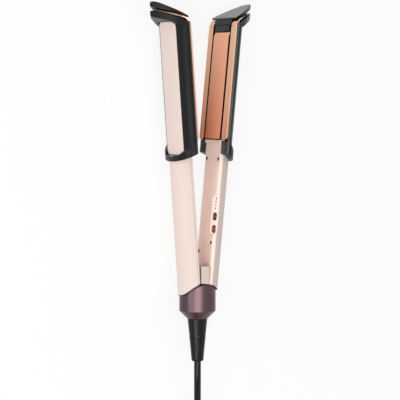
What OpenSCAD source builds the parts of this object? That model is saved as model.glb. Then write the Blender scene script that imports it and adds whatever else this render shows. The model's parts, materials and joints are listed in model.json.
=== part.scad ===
// Hair straightener with two hinged arms, floating heated plates and a swivelling mains lead.
// It lies on its side: +Y runs from the cord end to the tips, +X to the arm with the buttons,
// +Z up from the surface. Heights along the tool are counted from the lower end of the hub's cone.

/* [Hub] */
// Outer radius of the hub
hub_r = 18.25; // [17.75:0.25:19]
// Wall of the hub
hub_wall = 2.2; // [1.8:0.1:2.4]
// Length of the cone at the hub's lower end
cone_len = 8; // [7:0.5:9]
// Radius of the cone's lower end
cone_end_r = 10.1; // [9.6:0.1:10.6]
// Height of the hub's rim behind the plain arm
rim_low = 23; // [22.5:0.1:24.5]
// Height of the hub's rim behind the arm with the buttons
rim_low_right = 27.6; // [26.5:0.1:29]
// Height of the hub's rim between the arms
rim_high = 34.8; // [34:0.1:37.5]

/* [Hinge] */
// Height of the hinge pin
pivot_y = 19; // [18.5:0.5:20]
// Radius of the hinge pin
pin_r = 2; // [1.6:0.1:2.3]
// Distance of each grip's inner face from the hub's axis at the pin
arm_gap = 3; // [2.9:0.1:3.4]
// Opening of the arm with the buttons at rest, in degrees
right_open = 5.6; // [4:0.1:6]
// Opening of the plain arm at rest, in degrees
left_open = 4.15; // [3.5:0.05:5.5]
// Lean of a closed grip towards the other one, in degrees
closed_lean = 0.15; // [0:0.05:0.3]
// Thickness of the block between the arms
block_t = 5; // [4.4:0.1:5.2]
// Height of the block's top
block_top = 53.5; // [48:0.5:56]

/* [Grip] */
// Radius of the grips' round backs
grip_r = 18.9; // [18.4:0.1:19.2]
// Wall of the grips
grip_wall = 1.8; // [1.5:0.1:2]
// Radius of the grips' inner edges
edge_r = 3; // [2.6:0.1:3.2]
// Height at which a grip's shell ends in the head's collar
grip_end = 165.5; // [163:0.5:167]
// Height of the lower cover screw on the near side
low_screw_y = 77.5; // [74:0.5:79]
// How much lower the other lower cover screw sits
low_screw_step = 10; // [8:0.5:11]
// Height of the upper cover screws
high_screw_y = 161.2; // [150:0.1:161.5]
// Distance of the cover screws from the middle of the grip
screw_z = 12.6; // [11.5:0.1:12.6]
// Radius of the holes over the cover screws
screw_hole_r = 1.85; // [1.7:0.05:2]

/* [Head] */
// Half width of the heads
head_half = 31; // [30.5:0.5:32]
// Depth of a head behind its inner face
head_depth = 12.7; // [12:0.1:13]
// Wall of a head frame
head_wall = 2.2; // [2:0.1:2.4]
// Height of the collar's edge on the inner side
collar_low = 167.2; // [166:0.1:168]
// Height of the collar's upper edge
collar_top = 178; // [176:0.5:180]
// Depth of the collar behind the inner face
collar_depth = 16.6; // [16.4:0.1:17]
// Height of the block between the plate's stop and the cap
tip_block_len = 6.8; // [6:0.2:8]
// How far the tip reaches outwards behind the inner face
tip_reach = 28; // [26:0.5:29]
// Half width of the tip cap
cap_half = 26; // [25:0.5:27.5]
// Half width of the outer panel
panel_half = 18.2; // [17:0.1:19]
// Thickness of the outer panel
panel_t = 1.5; // [1.2:0.1:1.6]

/* [Plates] */
// Half width of a plate
plate_half = 16.5; // [15:0.5:17]
// Height of a plate's lower end
plate_low = 181; // [180.5:0.5:184]
// Length of a plate
plate_len = 103; // [98:1:103]
// Thickness of a plate
plate_t = 2.4; // [2:0.1:2.6]
// Travel of a plate against its springs
plate_travel = 1; // [0.5:0.1:1.2]
// Half width across the copper rails
rail_half = 29.3; // [28.5:0.1:29.4]
// Width of the slot beside a plate
rail_slot = 3.2; // [2.6:0.1:3.4]
// Thickness of the copper rails
rail_t = 3.6; // [3.2:0.1:3.8]

/* [Controls] */
// Height of the control strip's middle
strip_y = 105.2; // [104:0.1:112]
// Length of the control strip
strip_len = 40; // [40:0.5:44]
// Width of the control strip
strip_w = 9.2; // [8.6:0.1:9.6]
// Distance of the lower button from the strip's lower end
button_up = 6; // [5.6:0.1:6.6]
// Distance between the buttons
button_pitch = 12.5; // [11.5:0.5:13]
// Length of a button
button_len = 7.8; // [7:0.1:8]
// Width of a button
button_w = 3.8; // [3.6:0.1:4.4]
// Travel of a button
button_travel = 0.6; // [0.4:0.1:0.6]
// Distance of the highest of the four lights from the strip's upper end
light_down = 3.5; // [3:0.1:4]
// Distance between two lights
light_pitch = 3.3; // [3:0.1:3.4]
// Radius of a light
light_r = 0.7; // [0.5:0.1:0.9]

/* [Cord] */
// Diameter of the cord
cord_d = 7; // [6.6:0.1:7.2]
// Length of the smooth swivel neck below the hub
neck_len = 19; // [17:0.5:22]
// Length of the ribbed strain relief below the neck
relief_len = 24; // [20:0.5:28]
// Radius at the inside of the coil's turns
coil_r = 30.5; // [28:0.5:32]
// Distance between neighbouring turns
coil_pitch = 7.55; // [7.5:0.05:8]
// Turns in each of the coil's two layers
coil_turns = 3; // [2:1:3]
// Thickness of the cord tie
tie_t = 1; // [0.8:0.1:1]
// Width of the cord tie
tie_w = 12; // [8:1:16]

/* [Plug] */
// Width of the plug's body
plug_w = 35.3; // [34:0.1:37]
// Thickness of the plug's body
plug_t = 13.7; // [13:0.1:14.5]
// Length of the plug's body
plug_len = 36; // [32:1:40]
// Radius of a plug pin
plug_pin_r = 2; // [1.9:0.1:2.4]
// Length of a plug pin outside the body
plug_pin_len = 19; // [17:0.5:20]
// Distance between the plug pins
plug_pin_gap = 18.6; // [17:0.1:19.2]

/* [Hidden] */
$fn = 48;

LEFT = -1;
RIGHT = 1;
pale_pink = [0.93, 0.83, 0.80];
warm_black = [0.13, 0.13, 0.13];
copper = [0.93, 0.70, 0.58];
mauve = [0.62, 0.53, 0.54];
steel = [0.75, 0.75, 0.77];
dark_grey = [0.42, 0.42, 0.41];
board_green = [0.15, 0.36, 0.22];
ceramic = [0.92, 0.91, 0.87];
brass = [0.80, 0.65, 0.30];
red = [0.75, 0.12, 0.14];

fit = 0.15;          // gap between pieces that seat in each other
run = 0.3;           // gap around pieces that move
pin_fit = 0.05;      // running gap of the arms on the pin
press = 0.02;        // gap of pieces pressed into each other
beyond = 60;         // reach of cutting shapes past the model
rim_power = 2;       // shape of the hub's wavy rim
rim_gap = 0.9;       // gap between the hub's rim and the arms at rest

// Points of an arc round (cx, cy)
function arc(cx, cy, r, from, to, steps) =
    [for (i = [0:steps]) let (a = from + (to - from) * i / steps) [cx + r * cos(a), cy + r * sin(a)]];

// Places along the tool's axis
swivel_low = -neck_len;
cord_exit = -neck_len - relief_len;
plate_high = plate_low + plate_len;
bevel_len = 4.2;
stop_low = plate_high + bevel_len + 0.5;
stop_len = 5.4;
tip_low = stop_low + stop_len + 0.3;
head_end = tip_low + tip_block_len;

// Tip profiles: x behind the inner face, height along the tool
tip_slope = 0.65;
under_slope = 0.52;
cap_edge = 2.1;
face_proud = 1.2;
cap_clear = 0.8;
lip_drop = 4.6;
flare_t = 1.3;
flare_gap = 1.4;
flare_reach = tip_reach - 4;
tip_round = 3;
function cap_over(x) = head_end + cap_edge + tip_slope * x;
cap_bend = [tip_reach - tip_round, cap_over(tip_reach - 2 * tip_round) - tip_round / 2];
cap_last = cap_bend + tip_round * [cos(50), -sin(50)];
function cap_under(x) = head_end + cap_clear + (cap_last[1] - head_end - cap_clear) * x / cap_last[0];
cap_profile = concat(
    [[-face_proud, head_end], [-face_proud, head_end + cap_edge - 1], [0, cap_over(0)]],
    [[tip_reach - 2 * tip_round, cap_over(tip_reach - 2 * tip_round)]],
    arc(cap_bend[0], cap_bend[1], tip_round, 85, -50, 8),
    [[2, cap_under(2)], [1, head_end]]);
function lip_over(x) = head_end - lip_drop + under_slope * x;
function flare_under(x) = cap_under(x) - flare_gap - flare_t;
pocket_x = 4.1;
rail_top = pocket_x - rail_t;
bend_r = 10;
rail_front = rail_top - arm_gap + (head_end - pivot_y) * sin(closed_lean);
flare_turn = atan(cap_last[0] / (cap_last[1] - head_end - cap_clear));
bend_x = rail_front + bend_r * (1 - cos(flare_turn));
bend_low = flare_under(bend_x) + flare_t - bend_r * sin(flare_turn);
flare_over = concat(arc(rail_front + bend_r, bend_low, bend_r, 180, 180 - flare_turn, 8),
    [[flare_reach, flare_under(flare_reach) + flare_t]]);
frame_face = 1.8;
hollow_high = head_end - 12;
lip_profile = [[frame_face, lip_over(frame_face)], [frame_face, head_end - 7.6],
    [head_depth - 5.7, head_end - 7.6], [head_depth - 2.7, head_end - 6], [head_depth + 1.3, head_end - 3.5],
    [tip_reach - 11, head_end - 1.9], [tip_reach - 7, head_end - 0.2], [tip_reach - 2, head_end + 1.9],
    [tip_reach, head_end + 3.8], [tip_reach + 0.3, head_end + 6.5], [tip_reach - 0.6, head_end + 8.3],
    [tip_reach - 2.2, lip_over(tip_reach - 2.2)]];

// A point of the grip frame (x behind the inner face, height) in the tool's frame at rest
function at_rest(p, open) = [0, pivot_y]
    + [arm_gap + p[0], p[1] - pivot_y] * [[cos(open), -sin(open)], [sin(open), cos(open)]];
right_tip = [for (p = cap_profile) at_rest(p, right_open)];
left_tip = [for (p = cap_profile) at_rest(p, left_open)];
x_mid = (max([for (p = right_tip) p[0]]) - max([for (p = left_tip) p[0]])) / 2;
y_top = max(max([for (p = right_tip) p[1]]), max([for (p = left_tip) p[1]]));
y_mid = (y_top + cord_exit) / 2;
axis_z = head_half;

// Extrusions along the three axes. Sections are drawn as (x, z), side views as (x, height)
// and faces as (z, height).
module along_y(low, high) translate([0, high, 0]) rotate([90, 0, 0]) linear_extrude(high - low) children();
module along_z(half) translate([0, 0, -half]) linear_extrude(2 * half) children();
module along_x(low, high) translate([high, 0, 0]) rotate([0, -90, 0]) linear_extrude(high - low) children();
module around_y() rotate([-90, 0, 0]) rotate_extrude($fn = 96) children();

// Frames: the whole tool, an arm in its closed place turned to rest, and the grip in its arm
module in_world() translate([-x_mid, -y_mid, axis_z]) children();
module about_pivot(turn) translate([0, pivot_y, 0]) rotate([0, 0, turn])
    translate([0, -pivot_y, 0]) children();
function rest_turn(side) = (side == RIGHT ? right_open : left_open) + closed_lean;
module on_arm(side) in_world() mirror([side == RIGHT ? 0 : 1, 0, 0]) about_pivot(-rest_turn(side)) children();
module in_grip() about_pivot(closed_lean) translate([arm_gap, 0, 0]) children();

// Rounded shapes in the plane
module slot_2d(w, len) {
    square([w, len - w], center = true);
    for (s = [-1, 1]) translate([0, s * (len - w) / 2]) circle(d = w);
}
module rounded_2d(w, h, r) {
    square([w - 2 * r, h], center = true);
    square([w, h - 2 * r], center = true);
    for (sx = [-1, 1], sy = [-1, 1]) translate([sx * (w / 2 - r), sy * (h / 2 - r)]) circle(r);
}

// The hub's wavy rim, seen from the side
function rim(x) = let (low = x < 0 ? rim_low : rim_low_right)
    rim_high - (rim_high - low) * pow(min(abs(x) / hub_r, 1), rim_power);
module under_rim(gap, side = RIGHT) along_z(beyond)
    polygon(concat([[-beyond, -beyond], [-beyond, rim(-side * hub_r) + gap]],
        [for (i = [-24:24]) [i * hub_r / 24, rim(side * i * hub_r / 24) + gap]],
        [[beyond, rim(side * hub_r) + gap], [beyond, -beyond]]));
module cut_by_hub(side) difference() {
    children();
    about_pivot(rest_turn(side)) under_rim(rim_gap, side);
}

// Section of a grip: a round back with rounded inner edges, drawn in by t
edge_z = sqrt(pow(grip_r - edge_r, 2) - pow(arm_gap + edge_r, 2));
edge_turn = atan2(edge_z, arm_gap + edge_r);
module grip_2d(t = 0) polygon(concat(
    arc(edge_r, -edge_z, edge_r - t, 180, 360 - edge_turn, 6),
    arc(-arm_gap, 0, grip_r - t, -edge_turn, edge_turn, 32),
    arc(edge_r, edge_z, edge_r - t, edge_turn, 180, 6)));
module grip_ring_2d() difference() {
    grip_2d();
    grip_2d(grip_wall);
}

// Half ellipse of a head's section, drawn in by t
module head_2d(depth, t = 0) polygon([for (i = [0:36]) let (a = -90 + 5 * i)
    [(depth - t) * cos(a), (head_half - t) * sin(a)]]);
// Outline of the tip from above: half width at x
tip_power = 1.7;
module tip_2d(half, reach) polygon(concat([[-face_proud, -half], [-face_proud, half]],
    [for (i = [0:12]) let (x = reach * sin(i * 90 / 12)) [x, half * (1 - pow(x / reach, tip_power))]],
    [for (i = [11:-1:0]) let (x = reach * sin(i * 90 / 12)) [x, -half * (1 - pow(x / reach, tip_power))]]));
// Outline of a head from its inner face, as (z, height), with rounded upper corners
corner_w = 3;
corner_len = 8;
module head_face_2d(half, low) polygon(concat([[-half, low]],
    [for (i = [0:6]) let (a = 180 - 15 * i)
        [-half + corner_w + corner_w * cos(a), head_end - corner_len + corner_len * sin(a)]],
    [for (i = [0:6]) let (a = 90 - 15 * i)
        [half - corner_w + corner_w * cos(a), head_end - corner_len + corner_len * sin(a)]],
    [[half, low]]));

// Hub
flange_low = 9.4;
flange_t = 2.2;
flange_high = flange_low + flange_t;
hub_in = hub_r - hub_wall;
floor_r = cone_end_r - 1.4;
seat_r = hub_in - 1.8;
flange_r = hub_in - fit;
neck_r = 6;
block_screw_x = 10.5;
boss_r = 3;
module hub_shell() color(mauve) in_world() difference() {
    union() {
        difference() {
            around_y() polygon([[0, 0], [cone_end_r, 0], [hub_r, cone_len],
                [hub_r, rim_high], [0, rim_high]]);
            around_y() polygon([[0, hub_wall], [floor_r, hub_wall], [seat_r, cone_len + 0.4],
                [seat_r, flange_low], [hub_in, flange_low], [hub_in, rim_high + 1], [0, rim_high + 1]]);
        }
        intersection() {
            for (s = [-1, 1]) translate([s * block_screw_x, flange_low, 0]) rotate([90, 0, 0])
                cylinder(r = boss_r, h = flange_low);
            around_y() polygon([[0, 0], [cone_end_r, 0], [hub_r, cone_len], [hub_r, rim_low], [0, rim_low]]);
        }
    }
    along_y(-1, cone_len) circle(neck_r + fit);
    for (s = [-1, 1]) translate([s * block_screw_x, flange_low + 1, 0]) rotate([90, 0, 0])
        cylinder(r = screw_r + pin_fit, h = screw_len);
    difference() {
        translate([-beyond / 2, rim_low - 1, -beyond / 2]) cube([beyond, beyond, beyond]);
        under_rim(0);
    }
}

// Block between the arms, with a flange that is screwed into the hub
eye_r = 5;
eye_t = 2.6;
left_eye_z = 7.3;
right_eye_z = 10.5;
spring_half = 3.6;
eye_slot = right_eye_z - left_eye_z + eye_t + 2 * run;
slot_high = pivot_y + 8;
block_half = hub_r - 0.55;
wedge_r = edge_r + run;
wedge_x = arm_gap + edge_r - 0.1;
wedge_turn = asin(min((block_half - edge_z) / wedge_r, 1));
flange_edge = 0.2;
inner_half = hub_in - 1;
module hinge_block() color(pale_pink) in_world() difference() {
    union() {
        around_y() translate([0, flange_low]) square([flange_r, flange_t]);
        along_y(flange_high - flange_edge, block_top) square([block_t, 2 * inner_half], center = true);
        along_y(rim_high + run, block_top) for (s = [-1, 1]) scale([1, s]) polygon(concat(
            [[block_t / 2, 0], [block_t / 2, edge_z]],
            arc(wedge_x, edge_z, wedge_r, 175, 180 - wedge_turn, 6),
            arc(-wedge_x, edge_z, wedge_r, wedge_turn, 5, 6),
            [[-block_t / 2, edge_z], [-block_t / 2, 0]]));
    }
    translate([0, pivot_y, 0]) cylinder(r = pin_r + press, h = beyond, center = true);
    for (z = [-right_eye_z - eye_t / 2 - run, -spring_half, left_eye_z - eye_t / 2 - run])
        translate([-beyond / 2, flange_high, z])
            cube([beyond, slot_high - flange_high, z == -spring_half ? 2 * spring_half : eye_slot]);
    along_y(0, flange_high + 1) circle(contact_clear);
    for (s = [-1, 1]) translate([s * block_screw_x, 0, 0]) rotate([-90, 0, 0])
        cylinder(r = screw_r + pin_fit, h = flange_high + 1);
}

module hinge_pin() color(steel) in_world() translate([0, pivot_y, 0])
    cylinder(r = pin_r, h = 2 * inner_half, center = true);

// Screws: a head and a shank along +Y from its tip
screw_r = 1;
screw_head_r = 1.7;
screw_head = 1.1;
screw_len = 6;
module screw(len) {
    cylinder(r = screw_r, h = len);
    translate([0, 0, len]) difference() {
        cylinder(r = screw_head_r, h = screw_head);
        translate([0, 0, screw_head / 2]) cylinder(r = screw_r * 0.7, h = screw_head, $fn = 6);
    }
}
module block_screws() color(steel) in_world() for (s = [-1, 1])
    translate([s * block_screw_x, flange_high - screw_len, 0]) rotate([-90, 0, 0]) screw(screw_len);

// Torsion spring round the pin, with a leg towards each arm
wire_r = 0.45;
spring_leg = 12;
module opening_spring() color(steel) in_world() translate([0, pivot_y, 0]) {
    difference() {
        cylinder(r = pin_r + run + 2 * wire_r, h = 2 * spring_half - 2 * run, center = true);
        cylinder(r = pin_r + run, h = beyond, center = true);
    }
    for (s = [-1, 1]) translate([s * (pin_r + run + wire_r), 0, s * (spring_half - run - 2 * wire_r)])
        rotate([-90, 0, -s * 10]) cylinder(r = wire_r, h = spring_leg);
}

// Swivel: the neck turns in the hub's lower end and hangs on its flange
neck_flange_r = 7.2;
neck_flange_t = 1.4;
neck_top = flange_low + 1.2;
washer_t = 0.5;
wire_hole_r = 1.6;
stem_r = 3.8;
ring_t = 1.6;
ring_depth = 0.75;
ring_pitch = 2.4;
contact_clear = 4.6;
neck_flange_low = hub_wall + washer_t + 0.1;
ring_low = neck_flange_low + neck_flange_t + 0.5;
neck_end_r = 8.2;
module swivel_washer() color(steel) in_world() around_y()
    translate([neck_r + fit, hub_wall]) square([neck_flange_r - neck_r, washer_t]);
module swivel_neck() color(warm_black) in_world() difference() {
    around_y() polygon([[0, swivel_low], [neck_end_r, swivel_low], [neck_end_r, swivel_low + 2],
        [cone_end_r - 0.1, -0.2], [neck_r, -0.2], [neck_r, neck_flange_low], [neck_flange_r, neck_flange_low],
        [neck_flange_r, neck_flange_low + neck_flange_t], [stem_r, neck_flange_low + neck_flange_t],
        [stem_r, neck_top], [0, neck_top]]);
    around_y() translate([0, neck_top - 3]) square([wire_hole_r, 6]);
}
module contact_rings() color(brass) in_world() for (i = [0, 1]) around_y()
    translate([stem_r + press, ring_low + i * ring_pitch]) square([ring_depth - press, ring_t]);
// Two spring fingers on the hub's floor that touch the rings
finger_w = 2.4;
finger_t = 0.5;
finger_len = neck_flange_r - stem_r - ring_depth + finger_t + 0.25;
module contact_fingers() color(brass) in_world() for (i = [0, 1]) rotate([0, 90 + 180 * i, 0])
    translate([stem_r + ring_depth + run, hub_wall + pin_fit, -finger_w / 2]) {
        translate([0, ring_low - hub_wall + i * ring_pitch, 0]) cube([finger_len, finger_t, finger_w]);
        translate([finger_len - finger_t, 0, 0])
            cube([finger_t, ring_low - hub_wall + i * ring_pitch + finger_t, finger_w]);
    }

// Ribbed strain relief below the neck
relief_top_r = neck_end_r;
relief_end_r = 6.1;
rib_count = 6;
rib_pitch = 2.4;
rib_depth = 0.35;
rib_start = 3.6;
rib_w = 0.9;
module strain_relief() color(warm_black) in_world() difference() {
    around_y() polygon(concat([[0, cord_exit + 0.01], [cord_d / 2, cord_exit + 0.01]],
        arc(relief_end_r - 2, cord_exit + 2, 2, -80, 0, 5),
        [[relief_top_r, swivel_low - 0.01], [0, swivel_low - 0.01]]));
    for (i = [0:rib_count - 1]) let (drop = rib_start + i * rib_pitch) translate([0, swivel_low - drop, 0])
        rotate([90, 0, 0]) difference() {
            cylinder(r = beyond / 2, h = rib_w);
            cylinder(r = relief_top_r - rib_depth - drop * (relief_top_r - relief_end_r) / relief_len,
                h = beyond, center = true);
        }
}

// Grip: the outer shell and the flat inner cover meet at the edge
seam_x = 3;
cover_tongue = plate_half;
post_r = 2.8;
boss_len = 3;
screw_seat = screw_head + 0.5;
pad_t = 1.6;
pad_len = 3.2;
bracket_x = 6;
bracket_t = 1.5;
bracket_screw_y = 56;
bracket_screw_z = 7;
bracket_seat = bracket_x - arm_gap + (bracket_screw_y - pivot_y) * sin(closed_lean);
module at_cover_screws()
    for (p = [[low_screw_y, 1], [low_screw_y - low_screw_step, -1], [high_screw_y, 1], [high_screw_y, -1]])
        translate([0, p[0], p[1] * screw_z]) rotate([0, 90, 0]) children();
module at_bracket_screws() for (s = [-1, 1])
    translate([0, bracket_screw_y, s * bracket_screw_z]) rotate([0, 90, 0]) children();
module grip_shell(side) color(pale_pink) on_arm(side) cut_by_hub(side) difference() {
    in_grip() union() {
        along_y(0, grip_end) intersection() {
            grip_ring_2d();
            translate([seam_x + fit / 2, -beyond]) square(2 * beyond);
        }
        intersection() {
            along_y(0, grip_end) grip_2d(grip_wall / 2);
            union() {
                at_cover_screws() translate([0, 0, grip_wall + boss_len + fit])
                    cylinder(r = post_r, h = beyond);
                at_bracket_screws() translate([0, 0, bracket_seat + bracket_t + fit])
                    cylinder(r = post_r, h = beyond);
            }
        }
    }
    in_grip() {
        at_cover_screws() cylinder(r = screw_r + pin_fit, h = screw_seat + screw_len + 0.5);
        at_bracket_screws() cylinder(r = screw_r + pin_fit, h = bracket_seat + screw_len + 0.5);
        if (side == RIGHT) {
            control_pocket();
            button_windows(flange_w, -flange_depth, flange_top + run);
        }
    }
}
module grip_cover(side) color(pale_pink) on_arm(side) cut_by_hub(side) difference() {
    in_grip() union() {
        along_y(0, grip_end) intersection() {
            grip_ring_2d();
            translate([-beyond, -beyond]) square([beyond + seam_x - fit / 2, 2 * beyond]);
        }
        along_y(grip_end - 1, plate_low - 1) translate([0, -cover_tongue])
            square([grip_wall, 2 * cover_tongue]);
        along_y(plate_low - 1 - pad_len, plate_low - 1) translate([-pad_t, -cover_tongue])
            square([pad_t + grip_wall, 2 * cover_tongue]);
        intersection() {
            along_y(0, grip_end) grip_2d(grip_wall / 2);
            union() {
                at_cover_screws() cylinder(r = post_r, h = grip_wall + boss_len);
                if (side == RIGHT) control_seat();
            }
        }
    }
    in_grip() {
        along_y(0, grip_end) difference() {
            translate([seam_x - fit / 2, -beyond]) square(2 * beyond);
            grip_2d(grip_wall + fit);
        }
        at_cover_screws() translate([0, 0, -1]) cylinder(r = screw_hole_r, h = 1 + screw_seat);
        at_cover_screws() cylinder(r = screw_r + pin_fit, h = beyond);
        if (side == RIGHT) control_pocket();
    }
}
module cover_screws(side) color(warm_black) on_arm(side) in_grip() at_cover_screws()
    translate([0, 0, screw_seat + screw_len]) rotate([180, 0, 0]) screw(screw_len);

// Hinge bracket: a plate in the grip with two eyes round the pin
bracket_half = 11.8;
bracket_low = 4;
module at_eyes(side) for (s = [-1, 1])
    translate([0, 0, s * (side == RIGHT ? right_eye_z : left_eye_z)]) children();
bracket_top = 62;
module hinge_bracket(side) color(steel) on_arm(side) difference() {
    union() {
        along_x(bracket_x, bracket_x + bracket_t)
            translate([-bracket_half, pivot_y - bracket_low])
                square([2 * bracket_half, bracket_top - pivot_y + bracket_low]);
        at_eyes(side) {
            translate([0, pivot_y, 0]) cylinder(r = eye_r, h = eye_t, center = true);
            translate([0, pivot_y - bracket_low, -eye_t / 2])
                cube([bracket_x + bracket_t, 2 * bracket_low, eye_t]);
        }
    }
    translate([0, pivot_y, 0]) cylinder(r = pin_r + pin_fit, h = beyond, center = true);
    in_grip() at_bracket_screws() cylinder(r = screw_r + pin_fit, h = beyond);
}
module bracket_screws(side) color(steel) on_arm(side) in_grip() at_bracket_screws()
    translate([0, 0, bracket_seat + screw_len - pin_fit]) rotate([180, 0, 0]) screw(screw_len);

// Head: the black frame with its collar and its flared lip
collar_slant = 0.45;
collar_lead = 3;
deck_t = 1.8;
ledge_w = 0.4;
liner_low = plate_low - 1.6;
rail_in = plate_half + rail_slot;
rail_w = rail_half - rail_in;
rail_bend = liner_low + rail_w / 2;
hollow_low = grip_end + 8;
module head_frame(side) color(warm_black) on_arm(side) difference() {
    in_grip() union() {
        difference() {
            intersection() {
                along_y(collar_low, head_end) head_2d(head_depth);
                along_x(-1, beyond) head_face_2d(head_half, collar_low);
                along_z(beyond)
                    polygon([[-1, 0], [-1, lip_over(-1)], [beyond, lip_over(beyond)], [beyond, 0]]);
            }
            along_y(hollow_low, hollow_high) head_2d(head_depth, head_wall);
        }
        intersection() {
            along_z(beyond) polygon(lip_profile);
            along_y(collar_low, head_end + 20) tip_2d(head_half - 0.6, tip_reach + 0.3);
        }
        collar();
        intersection() {
            along_y(collar_low, liner_low - 0.2) head_2d(head_depth);
            translate([0, 0, -beyond]) cube([deck_t, beyond * 10, 2 * beyond]);
        }
    }
    in_grip() {
        along_y(0, grip_end + fit) grip_2d(-fit);
        along_y(0, hollow_low + 1) grip_2d(grip_wall + ledge_w);
        along_y(hollow_low, collar_top + 1) intersection() {
            grip_2d(grip_wall + ledge_w);
            head_2d(head_depth, head_wall);
        }
        translate([-1, 0, -cover_tongue - fit])
            cube([1 + grip_wall + fit, plate_low - 1 + fit, 2 * (cover_tongue + fit)]);
        difference() {
            along_x(0, beyond) panel_2d(fit);
            along_y(0, head_end + 1) head_2d(head_depth, panel_t + fit);
        }
        edge_cut();
        tip_hollow();
    }
    along_x(-beyond, pocket_x + fit) rail_face_2d(fit);
}
// Chamfer of the frame's front edges
edge_run = 2.4;
edge_drop = 1.1;
module edge_cut() along_y(0, head_end) for (s = [-1, 1]) scale([1, s])
    polygon([[-1, head_half - edge_drop], [0, head_half - edge_drop], [edge_run, head_half],
        [edge_run, head_half + 5], [-1, head_half + 5]]);
module collar() intersection() {
    along_y(collar_low - collar_slant * collar_depth, collar_top) head_2d(collar_depth);
    along_z(beyond) polygon([[-1, collar_low + collar_slant],
        [collar_depth + 1, collar_low - collar_slant * (collar_depth + 1)],
        [collar_depth + 1, collar_top - collar_depth - 1 + collar_lead], [collar_lead, collar_top],
        [-1, collar_top]]);
}
// Room in the lip for the tip block
module tip_hollow() intersection() {
    along_z(tip_block_half + fit) polygon([[-2, stop_low - 1], [-2, head_end + 1],
        [tip_block_x + fit, head_end + 10], [tip_block_x + fit, stop_low - 1]]);
    along_y(stop_low - 1, head_end + 10) head_2d(head_depth, head_wall);
}

// Pink panel in the back of the head
panel_low = grip_end + 0.5;
panel_high = head_end - 3.2;
panel_corner = 6;
module panel_2d(gap = 0) translate([0, (panel_low + panel_high) / 2])
    rounded_2d(2 * (panel_half + gap), panel_high - panel_low + 2 * gap, panel_corner);
module back_panel(side) color(pale_pink) on_arm(side) in_grip() intersection() {
    along_y(panel_low, panel_high) difference() {
        head_2d(head_depth);
        head_2d(head_depth, panel_t);
    }
    along_x(0, beyond) panel_2d();
}

// Copper rails on both sides of the plate, joined by a floor and ending in a flare under the cap
rail_drop = 0.6;
floor_x = 8.1;
floor_t = 0.8;
wall_t = 0.7;
module rail_face_2d(gap = 0) for (s = [-1, 1]) scale([s, 1]) polygon(concat(
    arc(rail_in + rail_w / 2, rail_bend, rail_w / 2 + gap, 180, 360, 12),
    [for (i = [0:6]) let (a = 15 * i)
        [rail_half - corner_w + (corner_w + gap) * cos(a), head_end - rail_drop + corner_len * (sin(a) - 1)]],
    [[rail_in - gap, head_end - rail_drop]]));
module rail_liner(side) color(copper) on_arm(side) {
    difference() {
        along_x(rail_top, pocket_x) rail_face_2d();
        in_grip() along_z(beyond) polygon(concat([[-beyond, bend_low]], flare_over,
            [[flare_reach, head_end + beyond], [-beyond, head_end + beyond]]));
    }
    difference() {
        translate([rail_top + 0.2, plate_low - 1, 0]) along_x(0, floor_x - rail_top - 0.2)
            translate([-rail_in - wall_t, 0]) square([2 * (rail_in + wall_t), plate_len + 2]);
        translate([-1, plate_low - 2, 0]) along_x(0, floor_x - floor_t + 1)
            translate([-rail_in, 0]) square([2 * rail_in, plate_len + 5]);
        at_springs() cylinder(r = guide_r + run, h = beyond, center = true);
    }
    intersection() {
        in_grip() difference() {
            intersection() {
                along_z(beyond) polygon(concat(flare_over, [[flare_reach, flare_under(flare_reach)]],
                    arc(rail_front + bend_r, bend_low, bend_r - flare_t, 180 - flare_turn, 180, 8)));
                along_y(collar_low, head_end + 20) tip_2d(rail_half - 0.4, flare_reach);
            }
            translate([-3, stop_low, -rail_in]) cube([tip_block_x + 3 + fit, beyond, 2 * rail_in]);
        }
        translate([rail_top, 0, -beyond]) cube([beyond, beyond * 10, 2 * beyond]);
    }
}

// Tip: the flared cap, the block below it and the stop above the plate
tip_block_half = plate_half + 1.4;
tip_block_x = 7.5;
groove = 0.4;
module tip_cap(side) color(dark_grey) on_arm(side) in_grip() intersection() {
    along_z(beyond) polygon(cap_profile);
    along_y(head_end - 1, head_end + 30) tip_2d(cap_half, tip_reach);
}
module tip_block(side) color(warm_black) on_arm(side) in_grip() difference() {
    along_z(tip_block_half) translate([0, -pin_fit]) polygon([[-face_proud, tip_low], [-face_proud, head_end],
        [1, head_end], [2, cap_under(2)], [tip_block_x, cap_under(tip_block_x)], [tip_block_x, tip_low]]);
    translate([-beyond - face_proud + groove, tip_low + 2 * groove, -beyond])
        cube([beyond, groove, 2 * beyond]);
}
module plate_stop(side) color(warm_black) on_arm(side) along_x(0.4, 5)
    translate([-plate_half + 0.8, stop_low]) square([2 * plate_half - 1.6, stop_len]);

// Floating plate with its heater and carrier; they move together along x
heater_t = 2;
carrier_t = 1.2;
guide_r = 1.2;
plate_face = 0.1;
plate_back = plate_face + plate_t;
plate_edge = 0.6;
heater_inset = 12;
heater_half = 9;
spring_z = 11;
carrier_inset = 2;
carrier_back = plate_back + heater_t + carrier_t;
module plate(side) color(copper) on_arm(side) translate([0, plate_low, 0]) along_z(plate_half)
    polygon([[plate_face, plate_edge], [plate_face, plate_len],
        [plate_face + plate_t * plate_edge, plate_len + bevel_len], [plate_back, plate_len + bevel_len],
        [plate_back, 0], [plate_face + plate_edge, 0]]);
module heater(side) color(ceramic) on_arm(side)
    translate([plate_back, plate_low + heater_inset, -heater_half])
        cube([heater_t, plate_len - 2 * heater_inset, 2 * heater_half]);
module plate_carrier(side) color(warm_black) on_arm(side) {
    difference() {
        translate([plate_back, plate_low + carrier_inset, -plate_half + plate_edge])
            cube([heater_t + carrier_t, plate_len - 2 * carrier_inset, 2 * (plate_half - plate_edge)]);
        translate([plate_back - 1, plate_low + heater_inset - fit, -heater_half - fit])
            cube([heater_t + 1, plate_len - 2 * (heater_inset - fit), 2 * (heater_half + fit)]);
    }
    at_springs() translate([0, 0, carrier_back - fit]) cylinder(r = guide_r, h = floor_x - carrier_back);
}
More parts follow.
